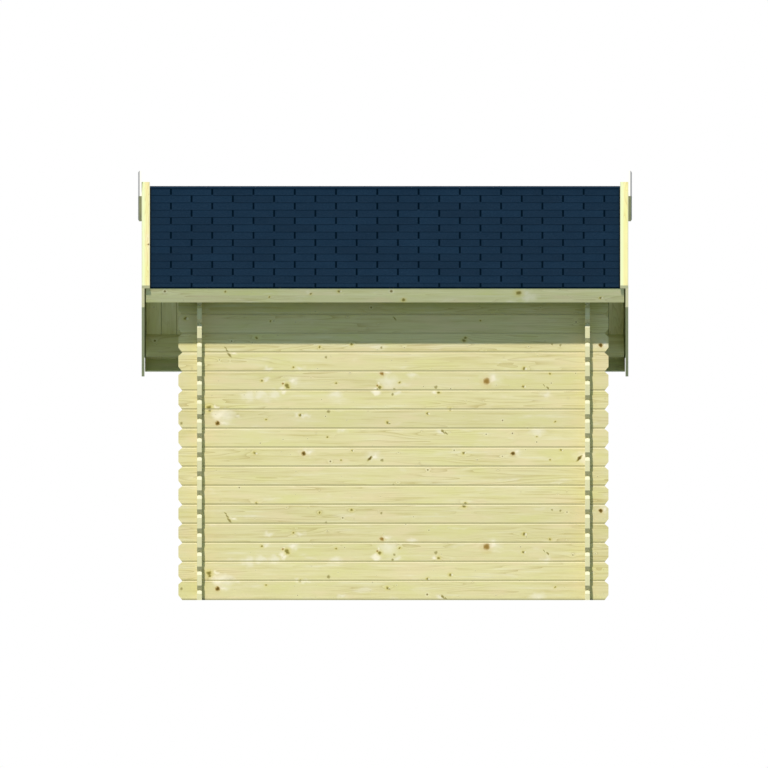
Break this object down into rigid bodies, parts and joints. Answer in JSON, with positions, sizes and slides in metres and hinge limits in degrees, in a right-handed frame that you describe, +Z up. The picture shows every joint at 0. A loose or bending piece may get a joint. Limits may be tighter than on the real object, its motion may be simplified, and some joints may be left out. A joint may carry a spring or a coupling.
{
  "type": "log garden house",
  "caption": "Small garden house of interlocking pine logs with an uneven saddle roof, bitumen shingles and a glazed double door in one gable.",
  "frame": {"origin": "middle of the outer box, on the ground", "axes": "X along the ridge from the door gable to the back gable, Y from the tall side wall to the low side wall, Z up"},
  "size_m": [2.956, 3.2604, 2.5702],
  "materials": {
    "wall_logs": "planed bare pine with knots",
    "roof_timber": "planed bare spruce boards",
    "trim_boards": "planed bare pine",
    "door_wood": "planed and sanded bare pine",
    "shingle_felt": "matt mineral-faced bitumen, dark slate blue",
    "door_glass": "clear",
    "door_metal": "satin"
  },
  "bodies": {
    "root": {"tall_side_wall": "wall_logs", "tall_side_top_log": "wall_logs", "low_side_wall": "wall_logs", "low_side_top_log": "wall_logs", "front_base_log": "wall_logs", "front_wall_tall_side": "wall_logs", "front_wall_low_side": "wall_logs", "front_gable": "wall_logs", "back_wall": "wall_logs", "back_gable": "wall_logs", "ridge_purlin": "roof_timber", "middle_purlin": "roof_timber", "roof_deck_tall_side": "roof_timber", "roof_deck_low_side": "roof_timber", "shingles_tall_side": "shingle_felt", "shingles_low_side": "shingle_felt", "ridge_strip": "shingle_felt", "fascia_tall_side": "trim_boards", "fascia_low_side": "trim_boards", "barge_board_front_tall": "trim_boards", "barge_board_front_low": "trim_boards", "barge_board_back_tall": "trim_boards", "barge_board_back_low": "trim_boards", "barge_cap_front_tall": "trim_boards", "barge_cap_front_low": "trim_boards", "barge_cap_back_tall": "trim_boards", "barge_cap_back_low": "trim_boards", "ornament_front": "trim_boards", "ornament_back": "trim_boards", "door_jamb_tall_side": "door_wood", "door_jamb_low_side": "door_wood", "door_head": "door_wood", "door_sill": "door_wood", "door_leaf_left": "door_wood", "door_leaf_right": "door_wood", "door_glass_left": "door_glass", "door_glass_right": "door_glass", "door_cover_strip": "door_wood", "door_casing": "door_wood", "door_hinges": "door_metal", "door_handle": "door_metal"}
  },
  "joints": []
}
